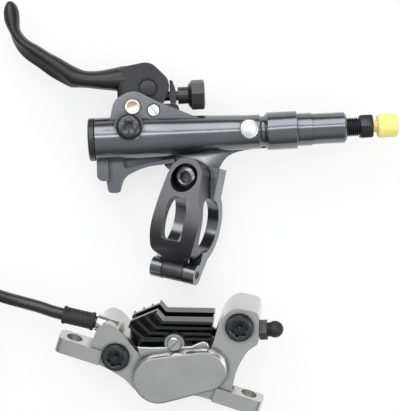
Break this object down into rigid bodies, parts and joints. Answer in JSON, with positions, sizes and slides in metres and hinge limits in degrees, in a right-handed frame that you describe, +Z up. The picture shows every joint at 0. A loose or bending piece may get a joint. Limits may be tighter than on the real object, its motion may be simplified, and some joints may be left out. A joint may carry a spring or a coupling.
{
  "type": "bicycle hydraulic disc brake",
  "caption": "Hydraulic bicycle disc brake laid flat: hinged-clamp handlebar lever with reach knob, post-mount piston caliper with finned pads, and coiled hose",
  "frame": {"origin": "middle of the handlebar bore in the lever's clamp", "axes": "+X along the master cylinder towards its hose end, +Y in the lying plane towards the lever blade, +Z up from the surface that the set lies on; the handlebar's axis is turned and lifted against X by the clamp's real angle"},
  "size_m": [0.243, 0.1742, 0.0382],
  "materials": {
    "body_grey": "glossy dark anodised",
    "band_violet_grey": "satin dark anodised",
    "blade_black": "satin black anodised",
    "black_steel": "black oxide steel",
    "black_plastic": "moulded black",
    "rubber_black": "black rubber",
    "silver_alloy": "bright satin",
    "bright_steel": "bright steel",
    "bronze": "bronze-coloured pin",
    "piston_alloy": "machined",
    "piston_ceramic": "ivory ceramic-like",
    "lining": "sintered metal lining",
    "yellow_plastic": "yellow",
    "hose_black": "smooth black hose jacket"
  },
  "bodies": {
    "frame": {"master_body": "body_grey", "cylinder_end_cap": "black_plastic", "reservoir_diaphragm": "rubber_black", "reservoir_cover": "black_plastic", "cover_screw_1": "bright_steel", "cover_screw_2": "bright_steel", "pivot_pin": "bronze", "pivot_bush_upper": "bronze", "pivot_bush_lower": "bronze", "return_spring": "bright_steel", "bleed_screw": "black_steel", "port_plug": "silver_alloy", "stroke_screw": "bright_steel", "clamp_band": "band_violet_grey", "hinge_pin": "black_steel", "clamp_bolt": "black_steel", "hose_nut": "black_steel", "shipping_plug": "yellow_plastic", "caliper_outer_half": "silver_alloy", "caliper_inner_half": "silver_alloy", "caliper_bolt_1": "black_steel", "caliper_bolt_2": "black_steel", "pad_spring": "bright_steel", "pad_axle": "bright_steel", "axle_clip": "bright_steel", "bleed_nipple": "black_steel", "nipple_cap": "rubber_black", "hose_fitting": "black_steel", "hose_boot": "rubber_black", "hose": "hose_black", "hose_coil": "hose_black", "coil_tie": "black_plastic"},
    "lever": {"lever_blade": "blade_black", "reach_nut_pin": "black_steel", "cam_link": "silver_alloy", "cam_roller": "bright_steel"},
    "knob": {"reach_knob": "black_plastic"},
    "plunger": {"push_rod": "bright_steel", "master_piston": "piston_alloy", "primary_seal": "rubber_black", "secondary_seal": "rubber_black"},
    "outer_pad": {"outer_pad_plate": "blade_black", "outer_pad_lining": "lining"},
    "inner_pad": {"inner_pad_plate": "blade_black", "inner_pad_lining": "lining"},
    "piston_outer_1_body": {"piston_outer_1": "piston_ceramic"},
    "piston_outer_2_body": {"piston_outer_2": "piston_ceramic"},
    "piston_inner_1_body": {"piston_inner_1": "piston_ceramic"},
    "piston_inner_2_body": {"piston_inner_2": "piston_ceramic"}
  },
  "joints": [
    {"name": "lever_swing", "type": "hinge", "parent": "frame", "child": "lever", "pos_m": [-0.0193, 0.0476, -0.0044], "axis": [0, 0, 1], "range_deg": [0, 27], "stiffness_Nm_per_rad": 0.12, "springref_deg": -34.38},
    {"name": "reach_turn", "type": "hinge", "parent": "lever", "child": "knob", "pos_m": [-0.0088, 0.052, -0.0044], "axis": [1, 0, 0], "range_deg": [-180, 180]},
    {"name": "plunger_slide", "type": "slide", "parent": "frame", "child": "plunger", "axis": [1, 0, 0], "range_m": [0, 0.006], "deforming": ["return_spring"]},
    {"name": "outer_pad_slide", "type": "slide", "parent": "frame", "child": "outer_pad", "axis": [0.1087, 0.2893, -0.9511], "range_m": [0, 0.001]},
    {"name": "inner_pad_slide", "type": "slide", "parent": "frame", "child": "inner_pad", "axis": [-0.1087, -0.2893, 0.9511], "range_m": [0, 0.001]},
    {"name": "piston_outer_1_slide", "type": "slide", "parent": "frame", "child": "piston_outer_1_body", "axis": [0.1087, 0.2893, -0.9511], "range_m": [0, 0.001]},
    {"name": "piston_outer_2_slide", "type": "slide", "parent": "frame", "child": "piston_outer_2_body", "axis": [0.1087, 0.2893, -0.9511], "range_m": [0, 0.001]},
    {"name": "piston_inner_1_slide", "type": "slide", "parent": "frame", "child": "piston_inner_1_body", "axis": [-0.1087, -0.2893, 0.9511], "range_m": [0, 0.001]},
    {"name": "piston_inner_2_slide", "type": "slide", "parent": "frame", "child": "piston_inner_2_body", "axis": [-0.1087, -0.2893, 0.9511], "range_m": [0, 0.001]}
  ],
  "couplings": [
    {"joint": "plunger_slide", "follows": "lever_swing", "m_per_rad": 0.012308},
    {"joint": "outer_pad_slide", "follows": "lever_swing", "m_per_rad": 0.00191},
    {"joint": "inner_pad_slide", "follows": "lever_swing", "m_per_rad": 0.00191},
    {"joint": "piston_outer_1_slide", "follows": "lever_swing", "m_per_rad": 0.00191},
    {"joint": "piston_outer_2_slide", "follows": "lever_swing", "m_per_rad": 0.00191},
    {"joint": "piston_inner_1_slide", "follows": "lever_swing", "m_per_rad": 0.00191},
    {"joint": "piston_inner_2_slide", "follows": "lever_swing", "m_per_rad": 0.00191}
  ]
}
